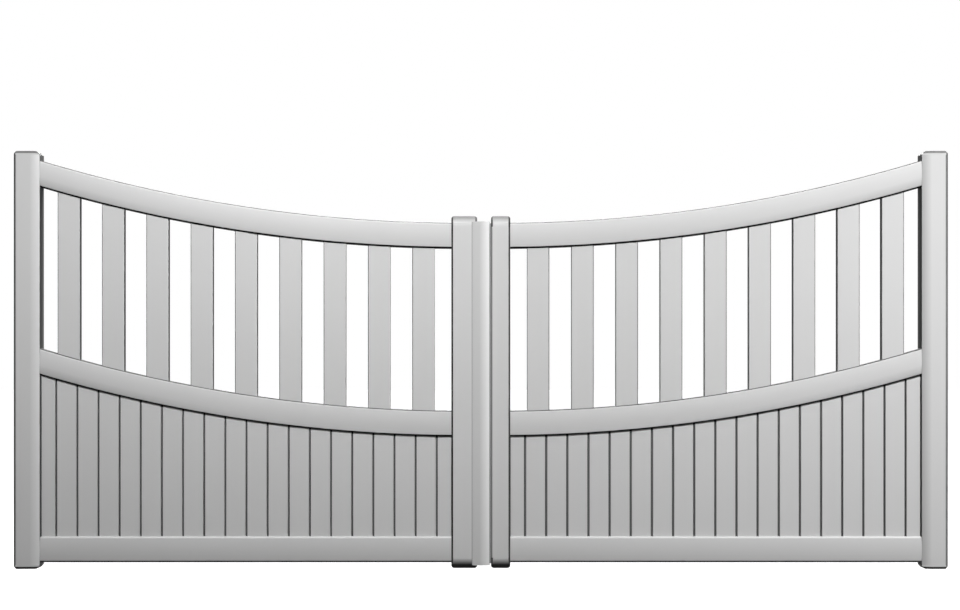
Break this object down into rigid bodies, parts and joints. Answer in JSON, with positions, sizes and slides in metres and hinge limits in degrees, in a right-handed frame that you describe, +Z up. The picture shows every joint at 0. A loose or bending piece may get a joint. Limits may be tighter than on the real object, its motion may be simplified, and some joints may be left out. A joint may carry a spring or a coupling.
{
  "type": "double swing driveway gate in powder-coated aluminium",
  "caption": "Pair of swing gate leaves with swept top and middle rails, open pickets above and grooved boards below, hung on pintle brackets that bolt to two pillars.",
  "frame": {"origin": "centre of the left lower wall plate, on the face that lies against the pillar; the left hinge axis is 47 mm from it along +X", "axes": "+X from the left pillar to the right one, +Y from the road into the drive, +Z up"},
  "size_m": [3.5, 0.134, 1.545],
  "materials": {
    "powder_coat": "satin powder coat, pale grey",
    "cap_coat": "satin powder coat, pale grey",
    "zinc_steel": "zinc plated"
  },
  "bodies": {
    "brackets": {"left_lower_bracket": "zinc_steel", "left_upper_bracket": "zinc_steel", "right_lower_bracket": "zinc_steel", "right_upper_bracket": "zinc_steel"},
    "left_leaf": {"left_lower_strap": "zinc_steel", "left_upper_strap": "zinc_steel", "left_hinge_stile": "powder_coat", "left_hinge_stile_top_cap": "cap_coat", "left_hinge_stile_foot_cap": "cap_coat", "left_meeting_stile": "powder_coat", "left_meeting_stile_top_cap": "cap_coat", "left_meeting_stile_foot_cap": "cap_coat", "left_top_rail": "powder_coat", "left_middle_rail": "powder_coat", "left_bottom_rail": "powder_coat", "left_pickets": "powder_coat", "left_boards": "powder_coat", "cover_strip": "powder_coat"},
    "right_leaf": {"right_lower_strap": "zinc_steel", "right_upper_strap": "zinc_steel", "right_hinge_stile": "powder_coat", "right_hinge_stile_top_cap": "cap_coat", "right_hinge_stile_foot_cap": "cap_coat", "right_meeting_stile": "powder_coat", "right_meeting_stile_top_cap": "cap_coat", "right_meeting_stile_foot_cap": "cap_coat", "right_top_rail": "powder_coat", "right_middle_rail": "powder_coat", "right_bottom_rail": "powder_coat", "right_pickets": "powder_coat", "right_boards": "powder_coat"}
  },
  "joints": [
    {"name": "left_leaf_hinge", "type": "hinge", "parent": "brackets", "child": "left_leaf", "pos_m": [0.047, 0, 0], "axis": [0, 0, 1], "range_deg": [0, 90]},
    {"name": "right_leaf_hinge", "type": "hinge", "parent": "brackets", "child": "right_leaf", "pos_m": [3.453, 0, 0], "axis": [0, 0, -1], "range_deg": [0, 90]}
  ]
}
